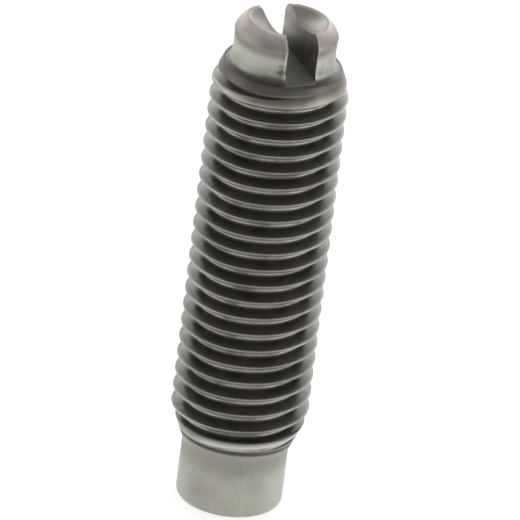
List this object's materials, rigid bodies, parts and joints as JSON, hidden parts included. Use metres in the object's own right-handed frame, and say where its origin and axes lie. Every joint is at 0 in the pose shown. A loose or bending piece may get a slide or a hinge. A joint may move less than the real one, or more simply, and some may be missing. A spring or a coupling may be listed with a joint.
{
  "type": "slotted adjusting screw",
  "caption": "Steel adjusting screw with a fine right-hand thread, a plain cylindrical dog point at its foot and a waisted, domed and dished head cut across by a screwdriver slot.",
  "frame": {"origin": "centre of the dog point's flat end, on which the screw stands", "axes": "+Z along the screw's axis from the dog point to the head; +Y along the screwdriver slot"},
  "size_m": [0.0078, 0.0078, 0.0296],
  "materials": {
    "steel": "turned steel, satin and lightly oiled, dark in the thread's grooves"
  },
  "bodies": {
    "root": {"adjusting_screw": "steel"}
  },
  "joints": []
}
